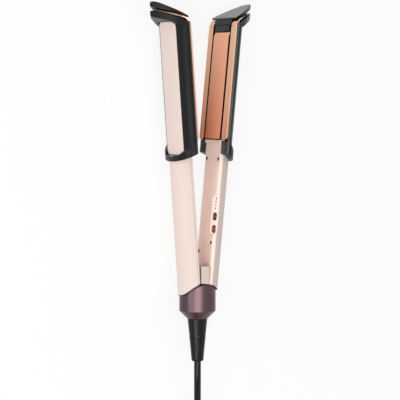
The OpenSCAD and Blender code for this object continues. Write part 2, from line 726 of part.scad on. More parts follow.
module at_springs() for (y = [plate_low + heater_inset, plate_high - heater_inset], s = [-1, 1])
    translate([0, y, s * spring_z]) rotate([0, 90, 0]) children();
spring_low = carrier_back + plate_travel + 0.1;
module plate_springs(side) color(steel) on_arm(side) at_springs() translate([0, 0, spring_low]) difference() {
    cylinder(r = guide_r + run + 0.8, h = floor_x - floor_t - spring_low);
    translate([0, 0, -1]) cylinder(r = guide_r + run, h = beyond);
}
// Two insulated leads to the heater
lead_r = 0.9;
lead_z = 2.2;
lead_low = 66;
lead_high = plate_low + 20;
module heater_leads(side) color(red) on_arm(side) for (s = [-1, 1])
    translate([floor_x + lead_r + press, lead_low, s * lead_z]) rotate([-90, 0, 0])
        cylinder(r = lead_r, h = lead_high - lead_low);

// Control strip on a slanted facet of the right grip's upper edge
facet_x = 2;
facet_z = 12.8;
facet_turn = 58;
low_button_y = strip_y - strip_len / 2 + button_up;
high_button_y = low_button_y + button_pitch;
light_y = strip_y + strip_len / 2 - light_down;
strip_proud = 0.4;
strip_t = 2;
seat_t = 1.5;
module on_facet(y = strip_y) translate([facet_x, y, facet_z]) rotate([0, -facet_turn, 0]) children();
module control_pocket() {
    on_facet() translate([0, 0, strip_proud - strip_t - fit]) linear_extrude(beyond)
        slot_2d(strip_w + 2 * fit, strip_len + 2 * fit);
    button_windows();
}
module button_windows(wider = 0, low = -flange_depth, high = beyond)
    for (y = [low_button_y, high_button_y]) on_facet(y) translate([0, 0, low]) linear_extrude(high - low)
        slot_2d(button_w + wider + 2 * run, button_len + wider + 2 * run);
module control_seat() on_facet() translate([0, 0, strip_proud - strip_t - fit - seat_t])
    linear_extrude(seat_t + fit) slot_2d(strip_w + 4, strip_len + 4);
module control_bezel() color(pale_pink) on_arm(RIGHT) in_grip() difference() {
    on_facet() translate([0, 0, strip_proud - strip_t]) linear_extrude(strip_t) slot_2d(strip_w, strip_len);
    button_windows();
    at_lights() cylinder(r = light_r + 0.05, h = beyond, center = true);
}
module at_lights() for (i = [0:3]) on_facet(light_y - i * light_pitch) children();
module light_lenses() color(dark_grey) on_arm(RIGHT) in_grip() at_lights()
    translate([0, 0, strip_proud - strip_t]) cylinder(r = light_r, h = strip_t + 0.1);
// A button is held by a flange under the seat
flange_top = strip_proud - strip_t - fit - seat_t - 0.1;
flange_w = 1.6;
flange_h = 0.8;
flange_depth = 6;
button_proud = 0.5;
module button(y) on_arm(RIGHT) in_grip() on_facet(y) translate([0, 0, flange_top - flange_h]) {
    linear_extrude(strip_proud + button_proud - flange_top + flange_h) slot_2d(button_w, button_len);
    linear_extrude(flange_h) slot_2d(button_w + flange_w, button_len + flange_w);
}
module mode_button() color(red) button(high_button_y);
module power_button() color(red) button(low_button_y);
switch_top = flange_top - flange_h - button_travel - pin_fit;
switch_h = 1.6;
board_t = 1;
dome_h = 0.5;
switch_w = 3;
switch_len = 4;
board_w = 11;
board_len = strip_len + 6;
board_edge = 1.5;
module button_switches() color(dark_grey) on_arm(RIGHT) in_grip()
    for (y = [low_button_y, high_button_y]) on_facet(y) {
        translate([0, 0, switch_top - dome_h]) cylinder(r = 1, h = dome_h);
        translate([-switch_w / 2, -switch_len / 2, switch_top - dome_h - switch_h])
            cube([switch_w, switch_len, switch_h]);
    }
module control_board() color(board_green) on_arm(RIGHT) in_grip() on_facet()
    translate([board_edge - board_w, -board_len / 2, switch_top - dome_h - switch_h - board_t])
        cube([board_w, board_len, board_t]);

// Cord: points of its free stretches from the point where it leaves the strain relief,
// x across, y along the tool and z up
free_route = [[0, 0, 0], [0, -7, 0], [0.4, -20, -0.8], [2.2, -34, -4.5], [4.6, -46, -9.6], [5.5, -58, -15.4],
    [3.9, -68.4, -20], [-0.8, -77.8, -23.3], [-8, -85.4, -25.2], [-17.3, -90.5, -26.1], [-26.5, -95.5, -26.3],
    [-33.7, -103.2, -26.3], [-38.4, -112.6, -26.3], [-39.9, -122.5, -26.3]];
coil_start = [-40, -140];
tie_lift = tie_t + 0.2;
layer_low = cord_d / 2 + tie_lift;
layer_rise = cord_d + 0.6;
tail_route = [[0, 0, 0], [0, -7, 0], [0.5, -16, -0.6], [3, -26, -1.8], [8, -36, -3.2], [16, -45, -4.4],
    [26, -52, -5.2], [38, -56, -5.5], [49, -57.4, -5.5], [58, -57.4, -5.5], [66, -57.4, -5.5]];

// A frame of two vectors square to the direction d
function unit(v) = v / norm(v);
function side_of(d) = unit(cross(d, abs(d[2]) > 0.9 ? [1, 0, 0] : [0, 0, 1]));
function sweep_points(path, r, sides) = [for (i = [0:len(path) - 1])
    let (d = unit(path[min(i + 1, len(path) - 1)] - path[max(i - 1, 0)]), s = side_of(d), u = cross(s, d))
    for (k = [0:sides - 1]) let (a = 360 * (k + 0.5) / sides) path[i] + r * (cos(a) * s + sin(a) * u)];
function sweep_faces(rings, sides) = concat(
    [for (k = [1:sides - 2]) [0, k, k + 1]],
    [for (k = [1:sides - 2]) let (b = (rings - 1) * sides) [b, b + k + 1, b + k]],
    [for (i = [0:rings - 2], k = [0:sides - 1], h = [0, 1]) let (a = i * sides + k,
        b = i * sides + (k + 1) % sides) h == 0 ? [a, a + sides, b] : [b, a + sides, b + sides]]);
module tube(path, r, sides) polyhedron(sweep_points(path, r, sides), sweep_faces(len(path), sides));

// Coil: the turns spiral in, climb a layer where the spiral turns back, and spiral out
coil_steps = 24;
coil_out = coil_r + coil_pitch * coil_turns;
exit_point = [-x_mid, cord_exit - y_mid, axis_z];
coil_mid = [exit_point[0] + coil_start[0] + coil_out, exit_point[1] + coil_start[1], 0];
function climb(s) = s < -0.25 ? 0 : s > 0.25 ? 1 : (1 - cos(180 * (s + 0.25) * 2)) / 2;
turn_back = 0.1;
coil_far = sqrt(coil_turns * coil_turns + turn_back * turn_back);
function coil_radius(s) = let (t = abs(s) / coil_turns) coil_r + coil_pitch
    * (sqrt(s * s + turn_back * turn_back) - turn_back * (1 - t) - (coil_far - coil_turns) * t);
function coil_point(s) = let (a = 180 + 360 * (s + coil_turns))
    coil_mid + [coil_radius(s) * cos(a), coil_radius(s) * sin(a), layer_low + layer_rise * climb(s)];
coil_path = concat([coil_point(-coil_turns) + [0, cord_d, 0]],
    [for (i = [0:2 * coil_turns * coil_steps]) coil_point(-coil_turns + i / coil_steps)],
    [coil_point(coil_turns) + [0, -cord_d, 0]]);
coil_end = coil_point(coil_turns) + [0, -cord_d, 0];
// Least gap of the coil to itself, measured between points a quarter turn or more apart
coil_gap = min([for (i = [0:len(coil_path) - 1]) min(concat([beyond],
    [for (j = [i + 6:len(coil_path) - 1]) norm(coil_path[i] - coil_path[j]) - cord_d]))]);
echo(coil_gap = coil_gap);
free_path = concat([for (p = free_route) exit_point + p], [coil_path[0]]);
tail_path = [for (p = tail_route) coil_end + p];
function length_of(path) = [for (i = [1:len(path) - 1]) norm(path[i] - path[i - 1])]
    * [for (i = [1:len(path) - 1]) 1];
echo(cord_length = [length_of(free_path), length_of(coil_path), length_of(tail_path)]);
module cord_free() color(warm_black) tube(free_path, cord_d / 2, 10);
module cord_coil() color(warm_black) tube(coil_path, cord_d / 2, 6);
module cord_tail() color(warm_black) tube(tail_path, cord_d / 2, 10);

// Tie round the coil's bundle on its far side
bundle_w = coil_pitch * coil_turns + cord_d + 1.4;
bundle_h = layer_rise + cord_d + 0.6;
tie_at = coil_mid + [coil_r + coil_pitch * coil_turns / 2, 0, layer_low - cord_d / 2 - 0.2 + bundle_h / 2];
module cord_tie() color(warm_black) translate(tie_at) rotate([90, 0, 0]) translate([0, 0, -tie_w / 2])
    linear_extrude(tie_w) difference() {
        rounded_2d(bundle_w + 2 * tie_t, bundle_h + 2 * tie_t - 0.2, 4);
        rounded_2d(bundle_w, bundle_h - 0.2, 3);
    }

// Plug, lying flat with its pins along +X
plug_at = [tail_path[len(tail_path) - 1][0], tail_path[len(tail_path) - 1][1], plug_t / 2];
plug_relief = 22;
module along_plug(low, high) translate([low, 0, 0]) rotate([90, 0, 90]) linear_extrude(high - low) children();
module plug_body() color(warm_black) translate(plug_at) {
    rotate([0, 90, 0]) rotate_extrude()
        polygon([[0, 0.01], [4.6, 0.01], [5.2, 1], [6.4, plug_relief + 2], [0, plug_relief + 2]]);
    intersection() {
        along_plug(plug_relief, plug_relief + plug_len) rounded_2d(plug_w, plug_t, 4);
        translate([plug_relief, 0, -plug_t / 2]) linear_extrude(plug_t) polygon([[0, -9], [10, -plug_w / 2],
            [plug_len, -plug_w / 2], [plug_len, plug_w / 2], [10, plug_w / 2], [0, 9]]);
    }
}
module plug_pins() color(brass) translate(plug_at) for (s = [-1, 1])
    translate([plug_relief + plug_len, s * plug_pin_gap / 2, 0]) rotate([0, 90, 0])
        cylinder(r = plug_pin_r, h = plug_pin_len);

hub_shell();
hinge_block();
hinge_pin();
block_screws();
opening_spring();
swivel_washer();
contact_fingers();
swivel_neck();
strain_relief();
contact_rings();
grip_shell(LEFT);  // left_grip_shell
grip_cover(LEFT);  // left_grip_cover
hinge_bracket(LEFT);  // left_hinge_bracket
bracket_screws(LEFT);  // left_bracket_screws
cover_screws(LEFT);  // left_cover_screws
head_frame(LEFT);  // left_head_frame
back_panel(LEFT);  // left_back_panel
rail_liner(LEFT);  // left_rail_liner
tip_cap(LEFT);  // left_tip_cap
tip_block(LEFT);  // left_tip_block
plate_stop(LEFT);  // left_plate_stop
plate(LEFT);  // left_plate
heater(LEFT);  // left_heater
plate_carrier(LEFT);  // left_plate_carrier
plate_springs(LEFT);  // left_plate_springs
heater_leads(LEFT);  // left_heater_leads
grip_shell(RIGHT);  // right_grip_shell
grip_cover(RIGHT);  // right_grip_cover
hinge_bracket(RIGHT);  // right_hinge_bracket
bracket_screws(RIGHT);  // right_bracket_screws
cover_screws(RIGHT);  // right_cover_screws
head_frame(RIGHT);  // right_head_frame
back_panel(RIGHT);  // right_back_panel
rail_liner(RIGHT);  // right_rail_liner
tip_cap(RIGHT);  // right_tip_cap
tip_block(RIGHT);  // right_tip_block
plate_stop(RIGHT);  // right_plate_stop
plate(RIGHT);  // right_plate
heater(RIGHT);  // right_heater
plate_carrier(RIGHT);  // right_plate_carrier
plate_springs(RIGHT);  // right_plate_springs
heater_leads(RIGHT);  // right_heater_leads
control_bezel();
light_lenses();
mode_button();
power_button();
control_board();
button_switches();
plug_body();
plug_pins();
cord_free();
cord_coil();
cord_tail();
cord_tie();
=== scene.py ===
# Hair straightener lying on a pale surface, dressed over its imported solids
import bpy
import json
import math
from mathutils import Matrix, Vector


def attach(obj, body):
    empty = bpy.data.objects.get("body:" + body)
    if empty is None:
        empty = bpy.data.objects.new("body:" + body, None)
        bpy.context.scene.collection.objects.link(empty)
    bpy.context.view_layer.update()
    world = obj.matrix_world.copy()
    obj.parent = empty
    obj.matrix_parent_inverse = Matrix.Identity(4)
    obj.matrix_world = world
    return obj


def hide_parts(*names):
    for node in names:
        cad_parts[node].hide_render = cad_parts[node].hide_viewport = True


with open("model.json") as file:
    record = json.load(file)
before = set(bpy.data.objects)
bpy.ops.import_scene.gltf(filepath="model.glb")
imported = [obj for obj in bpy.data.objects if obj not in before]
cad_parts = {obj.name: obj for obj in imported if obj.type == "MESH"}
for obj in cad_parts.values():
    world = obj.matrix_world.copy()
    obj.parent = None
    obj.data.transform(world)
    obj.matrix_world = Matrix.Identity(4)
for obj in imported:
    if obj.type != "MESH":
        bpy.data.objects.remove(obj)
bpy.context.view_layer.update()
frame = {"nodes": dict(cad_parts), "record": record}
nodes = frame["nodes"]

# Places in the tool's own frame: x to the button arm, y along the tool from the hub's cone, z up
tool = {"xMid": 0.00371277, "yMid": 0.136628, "axisZ": 0.031, "pivotY": 0.019, "armGap": 0.003,
        "lean": 0.15, "open": {"left": 4.15, "right": 5.6}}
toolToWorld = Matrix.Translation((-tool["xMid"], -tool["yMid"], tool["axisZ"]))


def aboutPivot(degrees):
    pivot = Matrix.Translation((0, tool["pivotY"], 0))
    return pivot @ Matrix.Rotation(math.radians(degrees), 4, "Z") @ pivot.inverted()


def armToWorld(side):
    # From the closed arm, x away from the other plate, to the arm at rest
    mirror = Matrix.Diagonal((1 if side == "right" else -1, 1, 1, 1))
    return toolToWorld @ mirror @ aboutPivot(-tool["open"][side] - tool["lean"])


def gripToWorld(side):
    # From the grip, x behind its inner face
    return armToWorld(side) @ aboutPivot(tool["lean"]) @ Matrix.Translation((tool["armGap"], 0, 0))


# Camera
camera = {"turn": 26.5, "tilt": 3.0, "distance": 2.2, "aim": 0.119, "right": 0.00255, "lens": 198,
          "sensor": 36, "farthest": 20}


def addCamera():
    turn, tilt = math.radians(camera["turn"]), math.radians(camera["tilt"])
    back = Vector((-math.sin(turn) * math.cos(tilt), math.sin(tilt), math.cos(turn) * math.cos(tilt)))
    right = Vector((math.cos(turn), 0, math.sin(turn)))
    aim = toolToWorld @ (Vector((0, camera["aim"], 0)) + right * camera["right"])
    up = back.cross(right)
    turned = Matrix((right, up, back)).transposed().to_4x4()
    bpy.ops.object.camera_add()
    cam = bpy.context.object
    cam.name = "camera"
    cam.data.lens = camera["lens"]
    cam.data.sensor_width = camera["sensor"]
    cam.data.clip_end = camera["farthest"]
    cam.matrix_world = Matrix.Translation(aim + back * camera["distance"]) @ turned
    bpy.context.scene.camera = cam


addCamera()
print("camera set")


# Grain of the finishes: noise scales and bump strengths
grain = {"roughness": 0.55, "plastic": 2600, "plasticBump": 0.08, "metal": 900, "metalBump": 0.05,
         "copperBump": 0.04}


# Shader helpers: a socket in a Val takes plain arithmetic
class Val:
    def __init__(self, shader, socket):
        self.shader, self.socket = shader, socket

    def maths(self, operation, *others):
        return self.shader.node("ShaderNodeMath", {"operation": operation}, [self, *others])

    def __add__(self, other):
        return self.maths("ADD", other)

    def __mul__(self, other):
        return self.maths("MULTIPLY", other)

    def __sub__(self, other):
        return self.maths("SUBTRACT", other)


class Shader:
    def __init__(self, name):
        self.material = bpy.data.materials.new(name)
        self.material.use_nodes = True
        self.tree = self.material.node_tree
        self.surface = self.tree.nodes["Principled BSDF"]

    def node(self, kind, settings=None, inputs=None, output=0):
        made = self.tree.nodes.new(kind)
        for key, value in (settings or {}).items():
            setattr(made, key, value)
        pairs = inputs.items() if isinstance(inputs, dict) else enumerate(inputs or [])
        for key, value in pairs:
            self.plug(made.inputs[key], value)
        return Val(self, made.outputs[output])

    def plug(self, socket, value):
        if isinstance(value, Val):
            self.tree.links.new(value.socket, socket)
        elif isinstance(value, (tuple, list)) and len(value) == 3 and socket.type == "RGBA":
            socket.default_value = (*value, 1)
        else:
            socket.default_value = value

    def set(self, **sockets):
        for key, value in sockets.items():
            self.plug(self.surface.inputs[key.replace("_", " ")], value)

    def coordinates(self):
        return self.node("ShaderNodeTexCoord", output="Object")

    def noise(self, scale, detail=3, stretch=(1, 1, 1)):
        place = self.node("ShaderNodeMapping", {}, {"Vector": self.coordinates(), "Scale": stretch})
        return self.node("ShaderNodeTexNoise", {}, {"Vector": place, "Scale": scale, "Detail": detail,
                                                    "Roughness": grain["roughness"]})

    def between(self, low, high, factor):
        return self.node("ShaderNodeMapRange", {}, {"Value": factor, "To Min": low, "To Max": high})

    def share(self, value, low, high):
        # 0 to 1 as the value goes from low to high
        return self.node("ShaderNodeMapRange", {}, {"Value": value, "From Min": low, "From Max": high})

    def tint(self, first, second, factor):
        mixed = self.tree.nodes.new("ShaderNodeMix")
        mixed.data_type = "RGBA"
        self.plug(mixed.inputs["Factor"], factor)
        self.plug(mixed.inputs["A"], first)
        self.plug(mixed.inputs["B"], second)
        return Val(self, mixed.outputs["Result"])

    def bump(self, height, strength, distance):
        made = self.tree.nodes.new("ShaderNodeBump")
        self.plug(made.inputs["Height"], height)
        made.inputs["Strength"].default_value = strength
        made.inputs["Distance"].default_value = distance
        self.plug(self.surface.inputs["Normal"], Val(self, made.outputs["Normal"]))

    def apart(self, point):
        # Distance from a point
        return self.node("ShaderNodeVectorMath", {"operation": "DISTANCE"}, [self.coordinates(), point], "Value")

    def along(self, axis, low, high):
        # 0 to 1 between two places on an axis
        return self.share(self.node("ShaderNodeSeparateXYZ", {}, [self.coordinates()], axis), low, high)


# Painted shade: a dark band painted along the lower edge of the pale pieces, above the hub's wavy rim, where the
# gap there lies in shadow
gapShadePaint = {"high": 0.0357, "leftWidth": 0.0017, "rightWidth": 0.0003, "sharpness": 4000, "hubR": 0.01825,
        "rimTop": 0.0348, "leftLow": 0.023, "rightLow": 0.0276, "blend": (0.001, -0.006),
        "colour": (0.012, 0.006, 0.006)}
gapShadePaint["left"], gapShadePaint["right"] = ((gapShadePaint["rimTop"] - gapShadePaint[low]) / gapShadePaint["hubR"] ** 2 for low in ("leftLow", "rightLow"))


# Paints the gap's shadow into the colour as a dark band
def withPaintedGapShade(skin, colour):
    parts = skin.node("ShaderNodeSeparateXYZ", {}, [skin.coordinates()])
    x, y = parts + tool["xMid"], Val(skin, parts.socket.node.outputs["Y"]) + tool["yMid"]
    left = skin.share(x, *gapShadePaint["blend"])
    above = y + x * x * (left * (gapShadePaint["left"] - gapShadePaint["right"]) + gapShadePaint["right"]) - gapShadePaint["high"]
    width = left * (gapShadePaint["leftWidth"] - gapShadePaint["rightWidth"]) + gapShadePaint["rightWidth"]
    clear = skin.node("ShaderNodeMath", {"operation": "MULTIPLY", "use_clamp": True},
                      [above - width, gapShadePaint["sharpness"]])
    return skin.tint(gapShadePaint["colour"], colour, clear)


def mouldedPlastic(name, colour, darker, rough, coat=0.0, shine=0.5, paintGapShade=False):
    # Moulded plastic: a fine eroded grain, slight cloudiness and uneven sheen, and painted gap shade along its
    # lower edge when asked
    skin = Shader(name)
    clouds = skin.noise(45, detail=4)
    shade = skin.tint(darker, colour, skin.between(0.25, 1.0, clouds))
    skin.surface.inputs["Specular IOR Level"].default_value = shine
    skin.set(Base_Color=withPaintedGapShade(skin, shade) if paintGapShade else shade,
             Roughness=skin.between(rough - 0.05, rough + 0.05, skin.noise(300)), Coat_Weight=coat,
             Coat_Roughness=0.25)
    skin.bump(skin.noise(grain["plastic"], detail=2), grain["plasticBump"], 0.0001)
    return skin.material


def brushedMetal(name, colour, darker, rough, stretch=(1, 1, 1), scale=grain["metal"]):
    # Metal with fine lines along the part
    skin = Shader(name)
    lines = skin.noise(scale, detail=3, stretch=stretch)
    skin.set(Base_Color=skin.tint(darker, colour, skin.between(0.2, 1.0, skin.noise(30, detail=3))),
             Metallic=1.0, Roughness=skin.between(rough - 0.05, rough + 0.07, lines))
    skin.bump(lines, grain["metalBump"], 0.00005)
    return skin.material


# Painted shade on the copper: darker towards the floor side and the hinge end, paler towards the upper edge and
# the tip, standing in for the darker surroundings it reflects low down; where it runs from and to, and how it
# shows
copperShadeRamp = {"across": (0.016, 0.045), "up": (0.052, 0.165), "reach": 0.85, "clouds": 0.06, "lines": (1, 0.06, 1),
        "edge": (0.95, 0.6, 0.48)}


def shadeRampedMetal(name, low, high, tip, rough):
    # Copper coloured metal with painted shade: darker low down and towards the hinge, paler towards its upper edge
    # and its tip, with fine lines along it
    skin = Shader(name)
    across, up = skin.along("Z", *copperShadeRamp["across"]), skin.along("Y", *copperShadeRamp["up"])
    lines = skin.noise(grain["metal"], detail=3, stretch=copperShadeRamp["lines"])
    warm = skin.tint(low, high, across)
    skin.set(Base_Color=skin.tint(warm, tip, up * copperShadeRamp["reach"] + skin.noise(24) * copperShadeRamp["clouds"]), Metallic=1.0,
             Roughness=skin.between(rough - 0.05, rough + 0.06, lines), Specular_Tint=copperShadeRamp["edge"])
    skin.bump(lines, grain["copperBump"], 0.00005)
    return skin.material


def markedButton(name, middle, ring, edge, centre, radii):
    # Dark button face with a coloured mark in its middle
    skin = Shader(name)
    apart = skin.apart(centre)
    inner, outer = skin.share(apart, *radii[:2]), skin.share(apart, *radii[2:])
    skin.set(Base_Color=skin.tint(skin.tint(middle, ring, inner), edge, outer),
             Roughness=skin.between(0.2, 0.3, skin.noise(300)), Coat_Weight=0.3)
    return skin.material


finishes = {
    "palePink": mouldedPlastic("pale pink plastic", (0.71, 0.585, 0.53), (0.68, 0.56, 0.505), 0.42, shine=0.4,
                                paintGapShade=True),
    # Painted light: a lighter, warmer copy of the pale pink for the grip covers' inner faces, standing in for the
    # bounce light between the arms
    "bounceLitPink": mouldedPlastic("inner pink plastic with painted bounce light", (0.97, 0.78, 0.69), (0.95, 0.75, 0.66), 0.42, shine=0.4,
                                 paintGapShade=True),
    "darkFrame": mouldedPlastic("dark frame plastic", (0.004, 0.004, 0.004), (0.003, 0.003, 0.003), 0.34,
                                shine=0.17),
    # Painted light: this grey stands for the light on the ends of black caps
    "capGrey": mouldedPlastic("cap plastic", (0.27, 0.265, 0.255), (0.23, 0.225, 0.215), 0.45, shine=0.3),
    # Painted shade: near-black brown for the slots beside the plates and the plates' side faces, where the grooves
    # lie in shadow
    "grooveShade": mouldedPlastic("painted groove shade", (0.030, 0.006, 0.002), (0.02, 0.004, 0.001), 0.6, shine=0.1),
    "gapDark": mouldedPlastic("gap shade", (0.012, 0.006, 0.006), (0.008, 0.004, 0.004), 0.7, shine=0.1),
    "roseGold": shadeRampedMetal("rose gold plate", (0.30, 0.09, 0.055), (0.76, 0.31, 0.18), (0.88, 0.53, 0.38), 0.2),
    "railGold": shadeRampedMetal("rose gold rail", (0.40, 0.18, 0.11), (0.78, 0.44, 0.30), (0.82, 0.55, 0.41), 0.22),
    "flareGold": brushedMetal("shaded rose gold", (0.30, 0.16, 0.10), (0.24, 0.12, 0.07), 0.4),
    "hubCoat": brushedMetal("mauve hub coat", (0.104, 0.066, 0.073), (0.098, 0.062, 0.069), 0.3, scale=2200),
    "steel": brushedMetal("zinc plated steel", (0.62, 0.62, 0.64), (0.50, 0.50, 0.52), 0.3, (1, 0.2, 1)),
    # Near-black screw steel, which keeps the screw holes dark
    "blackSteel": brushedMetal("near black screw steel", (0.03, 0.028, 0.028), (0.02, 0.018, 0.018), 0.35),
    "brass": brushedMetal("contact brass", (0.75, 0.55, 0.25), (0.62, 0.44, 0.18), 0.3, (1, 0.2, 1)),
    "ceramic": mouldedPlastic("heater ceramic", (0.80, 0.78, 0.72), (0.70, 0.68, 0.62), 0.6),
    "carrier": mouldedPlastic("carrier plastic", (0.03, 0.03, 0.03), (0.02, 0.02, 0.02), 0.55),
    "stripPink": mouldedPlastic("strip plastic", (0.97, 0.84, 0.77), (0.95, 0.81, 0.74), 0.4, shine=0.4),
    # Painted highlight: a lighter grey for the head frames' front chamfers, standing in for the light they catch
    "frameEdgeHighlight": mouldedPlastic("frame edge painted highlight", (0.075, 0.075, 0.07), (0.06, 0.06, 0.056), 0.4, shine=0.25),
    "lens": mouldedPlastic("lens plastic", (0.05, 0.02, 0.02), (0.03, 0.015, 0.015), 0.15, coat=0.8),
    "board": mouldedPlastic("board lacquer", (0.02, 0.12, 0.05), (0.015, 0.09, 0.04), 0.3, coat=0.4),
    "switch": mouldedPlastic("switch plastic", (0.02, 0.02, 0.02), (0.015, 0.015, 0.015), 0.5),
    "leads": mouldedPlastic("lead silicone", (0.40, 0.03, 0.03), (0.32, 0.02, 0.02), 0.45),
    "rubber": mouldedPlastic("cord rubber", (0.004, 0.004, 0.004), (0.003, 0.003, 0.003), 0.24, shine=0.2),
}
print("finishes made")


# Cord: the same route as its solids, in metres, with its coil's turns worked out
cord = {"diameter": 0.007, "exit": (-0.00371277, -0.179628, 0.031), "coilMid": (0.00943723, -0.319628, 0),
        "coilR": 0.0305, "pitch": 0.00755, "turns": 3, "low": 0.0047, "rise": 0.0076, "turnBack": 0.1,
        "stepsPerTurn": 48,
        "free": [(0, 0, 0), (0, -7, 0), (0.4, -20, -0.8), (2.2, -34, -4.5), (4.6, -46, -9.6), (5.5, -58, -15.4),
                 (3.9, -68.4, -20), (-0.8, -77.8, -23.3), (-8, -85.4, -25.2), (-17.3, -90.5, -26.1),
                 (-26.5, -95.5, -26.3), (-33.7, -103.2, -26.3), (-38.4, -112.6, -26.3), (-39.9, -122.5, -26.3)],
        "tail": [(0, 0, 0), (0, -7, 0), (0.5, -16, -0.6), (3, -26, -1.8), (8, -36, -3.2), (16, -45, -4.4),
                 (26, -52, -5.2), (38, -56, -5.5), (49, -57.4, -5.5), (58, -57.4, -5.5), (66, -57.4, -5.5)]}


def coilPoint(s):
    turns, back = cord["turns"], cord["turnBack"]
    t, far = abs(s) / turns, math.hypot(turns, back)
    radius = cord["coilR"] + cord["pitch"] * (math.hypot(s, back) - back * (1 - t) - (far - turns) * t)
    angle = math.pi + 2 * math.pi * (s + turns)
    climb = min(max((1 - math.cos(math.pi * (s + 0.25) * 2)) / 2 if abs(s) < 0.25 else (s > 0), 0), 1)
    return Vector(cord["coilMid"]) + Vector((radius * math.cos(angle), radius * math.sin(angle),
                                             cord["low"] + cord["rise"] * climb))


def smoothThrough(points, pieces=4):
    # A Catmull-Rom curve through the points
    found = []
    for i in range(len(points) - 1):
        a, b = points[i], points[i + 1]
        before = points[i - 1] if i else a * 2 - b
        after = points[i + 2] if i + 2 < len(points) else b * 2 - a
        for k in range(pieces):
            t = k / pieces
            found.append(0.5 * (a * 2 + (b - before) * t + (before * 2 - a * 5 + b * 4 - after) * t * t
                                + (a * 3 - before - b * 3 + after) * t ** 3))
    return found + [points[-1]]


def cordPath():
    start = Vector(cord["exit"])
    turns, steps = cord["turns"], cord["stepsPerTurn"]
    coil = [coilPoint(-turns + i / steps) for i in range(2 * turns * steps + 1)]
    free = [start + Vector(p) / 1000 for p in cord["free"]] + [coil[0] + Vector((0, cord["diameter"], 0))]
    end = coil[-1] - Vector((0, cord["diameter"], 0))
    tail = [end + Vector(p) / 1000 for p in cord["tail"]]
    return smoothThrough(free) + coil + smoothThrough(tail)


def addCord():
    path = cordPath()
    curve = bpy.data.curves.new("cord", "CURVE")
    curve.dimensions = "3D"
    curve.bevel_depth = cord["diameter"] / 2
    curve.bevel_resolution = 3
    curve.use_fill_caps = True
    line = curve.splines.new("POLY")
    line.points.add(len(path) - 1)
    for point, place in zip(line.points, path):
        point.co = (*place, 1)
    piece = bpy.data.objects.new("cord", curve)
    bpy.context.collection.objects.link(piece)
    piece.data.materials.append(finishes["rubber"])
    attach(piece, "hub")
    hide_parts("cord_free", "cord_coil", "cord_tail")
    return piece


cordPiece = addCord()
print("cord laid")


def deselectAll():
    if bpy.context.object and bpy.context.object.mode != "OBJECT":
        bpy.ops.object.mode_set(mode="OBJECT")
    bpy.ops.object.select_all(action="DESELECT")


def makeActive(piece):
    deselectAll()
    piece.select_set(True)
    bpy.context.view_layer.objects.active = piece


def finishPiece(piece, finish, body, slot, *replaced):
    piece.data.materials.clear()
    piece.data.materials.append(finishes[finish])
    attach(piece, body)
    if replaced:
        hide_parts(*replaced)
    return piece


# Moulded pieces: a merged copy of the solid with its edges rounded
rounding = {"segments": 2, "angle": math.radians(35), "merge": 0.000004, "flat": math.radians(0.4)}


def roundedCopy(node, name, width):
    source = nodes[node]
    piece = bpy.data.objects.new(name, source.data.copy())
    bpy.context.collection.objects.link(piece)
    makeActive(piece)
    bpy.ops.object.mode_set(mode="EDIT")
    bpy.ops.mesh.select_all(action="SELECT")
    bpy.ops.mesh.remove_doubles(threshold=rounding["merge"])
    bpy.ops.mesh.dissolve_limited(angle_limit=rounding["flat"])
    bpy.ops.object.mode_set(mode="OBJECT")
    if width:
        edges = piece.modifiers.new("edges", "BEVEL")
        edges.width, edges.segments = width, rounding["segments"]
        edges.limit_method, edges.angle_limit = "ANGLE", rounding["angle"]
        edges.harden_normals = node.endswith("rail_liner")
    bpy.ops.object.shade_smooth_by_angle(angle=rounding["angle"])
    if width:
        bpy.ops.object.modifier_apply(modifier="edges")
    return piece


def shadeFaces(piece, finish, test, toFrame):
    # A second finish on the faces that a test picks by place and direction
    piece.data.materials.append(finishes[finish])
    last = len(piece.data.materials) - 1
    turn = toFrame.to_3x3()
    for face in piece.data.polygons:
        place, normal = toFrame @ face.center, (turn @ face.normal).normalized()
        if test(place, normal):
            face.material_index = last


def evenRoundNormals(piece, middle):
    # Shading that runs evenly round the tool's axis, with each face's own slope
    normals = []
    for face in piece.data.polygons:
        slope = face.normal.y
        flat = Vector((face.normal.x, 0, face.normal.z))
        for index in face.vertices:
            out = piece.data.vertices[index].co - middle
            out.y = 0
            isRound = flat.length > 0.5 and flat.normalized().dot(out.normalized()) > 0.97
            level = out.normalized() * math.sqrt(1 - slope * slope) if isRound else flat
            normals.append(level + Vector((0, slope, 0)))
    piece.data.normals_split_custom_set(normals)


